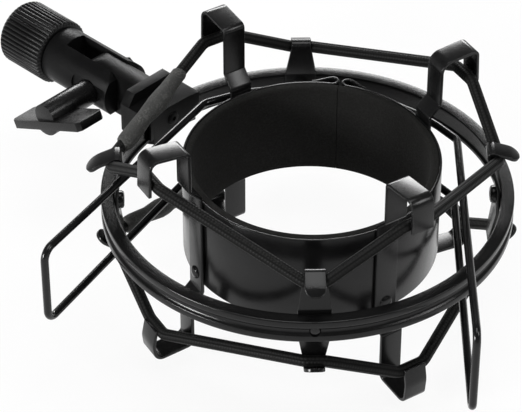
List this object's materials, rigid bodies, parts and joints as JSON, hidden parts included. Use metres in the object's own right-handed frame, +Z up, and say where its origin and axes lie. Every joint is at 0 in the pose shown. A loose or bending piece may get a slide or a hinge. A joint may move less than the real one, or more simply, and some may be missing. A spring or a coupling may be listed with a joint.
{
  "type": "microphone shock mount",
  "caption": "Round elastic-suspension microphone holder: a foam-lined split clamp with wire levers hangs by zigzag elastic cords in an outer ring that swivels on a knurled stand nut.",
  "frame": {"origin": "centre of the foam-lined clamp, at the middle of its height", "axes": "+Z up along the clamp axis, +Y towards the stand arm, +X to the right seen from the front with the arm behind"},
  "size_m": [0.1657, 0.2436, 0.0876],
  "materials": {
    "textured_paint": "fine-textured black powder coat",
    "satin_paint": "satin black enamel on sheet steel",
    "dark_steel": "blackened steel",
    "foam": "matt closed-cell foam",
    "elastic_cord": "braided elastic",
    "grey_rubber": "mottled matt rubber"
  },
  "bodies": {
    "frame": {"outer_ring": "textured_paint", "post_back_right": "satin_paint", "post_back_left": "satin_paint", "post_front_left": "satin_paint", "post_front_right": "satin_paint", "post_screws": "dark_steel", "arm_block": "textured_paint", "arm_screw": "dark_steel", "upper_cord": "elastic_cord", "lower_cord": "elastic_cord", "upper_sleeve": "grey_rubber", "lower_sleeve": "grey_rubber"},
    "cradle": {"clamp_band": "satin_paint", "foam_liner": "foam"},
    "left_jaw": {"strap_left_rear": "satin_paint", "strap_left_front": "satin_paint", "rivets_left": "dark_steel"},
    "right_jaw": {"strap_right_rear": "satin_paint", "strap_right_front": "satin_paint", "rivets_right": "dark_steel"},
    "left_lever": {"lever_left": "dark_steel"},
    "right_lever": {"lever_right": "dark_steel"},
    "swivel": {"clevis": "textured_paint", "pivot_nut": "dark_steel", "nut_retainer": "dark_steel"},
    "wing": {"wing_screw": "textured_paint"},
    "nut": {"stand_nut": "textured_paint"}
  },
  "joints": [
    {"name": "cradle_float", "type": "slide", "parent": "frame", "child": "cradle", "axis": [0, 0, 1], "range_m": [-0.006, 0.006], "stiffness_N_per_m": 1500, "deforming": ["upper_cord", "lower_cord", "upper_sleeve", "lower_sleeve"]},
    {"name": "left_jaw_flex", "type": "hinge", "parent": "cradle", "child": "left_jaw", "pos_m": [-0.0375, -0.02165, 0], "axis": [0, 0, 1], "range_deg": [0, 3.5], "stiffness_Nm_per_rad": 40, "deforming": ["clamp_band", "foam_liner", "upper_cord", "lower_cord", "upper_sleeve", "lower_sleeve"]},
    {"name": "right_jaw_flex", "type": "hinge", "parent": "cradle", "child": "right_jaw", "pos_m": [-0.0375, -0.02165, 0], "axis": [0, 0, 1], "range_deg": [-3.5, 0], "stiffness_Nm_per_rad": 40, "deforming": ["clamp_band", "foam_liner", "upper_cord", "lower_cord", "upper_sleeve", "lower_sleeve"]},
    {"name": "left_lever_squeeze", "type": "hinge", "parent": "left_jaw", "child": "left_lever", "pos_m": [0.0376, 0.025, 0], "axis": [0, 0, 1], "range_deg": [0, 3.7], "deforming": ["clamp_band", "foam_liner"]},
    {"name": "right_lever_squeeze", "type": "hinge", "parent": "right_jaw", "child": "right_lever", "pos_m": [0.04045, 0.02006, 0], "axis": [0, 0, 1], "range_deg": [-3.7, 0], "deforming": ["clamp_band", "foam_liner"]},
    {"name": "swivel_tilt", "type": "hinge", "parent": "frame", "child": "swivel", "pos_m": [0, 0.0995, 0], "axis": [1, 0, 0], "range_deg": [-90, 90]},
    {"name": "wing_turn", "type": "hinge", "parent": "swivel", "child": "wing", "pos_m": [0, 0.0995, 0], "axis": [1, 0, 0], "continuous": true},
    {"name": "nut_turn", "type": "hinge", "parent": "swivel", "child": "nut", "pos_m": [0, 0.137, 0], "axis": [0, 1, 0], "continuous": true}
  ],
  "couplings": [
    {"joint": "right_jaw_flex", "follows": "left_jaw_flex", "ratio": -1},
    {"joint": "left_lever_squeeze", "follows": "left_jaw_flex", "ratio": 1.04},
    {"joint": "right_lever_squeeze", "follows": "left_jaw_flex", "ratio": -1.04}
  ]
}
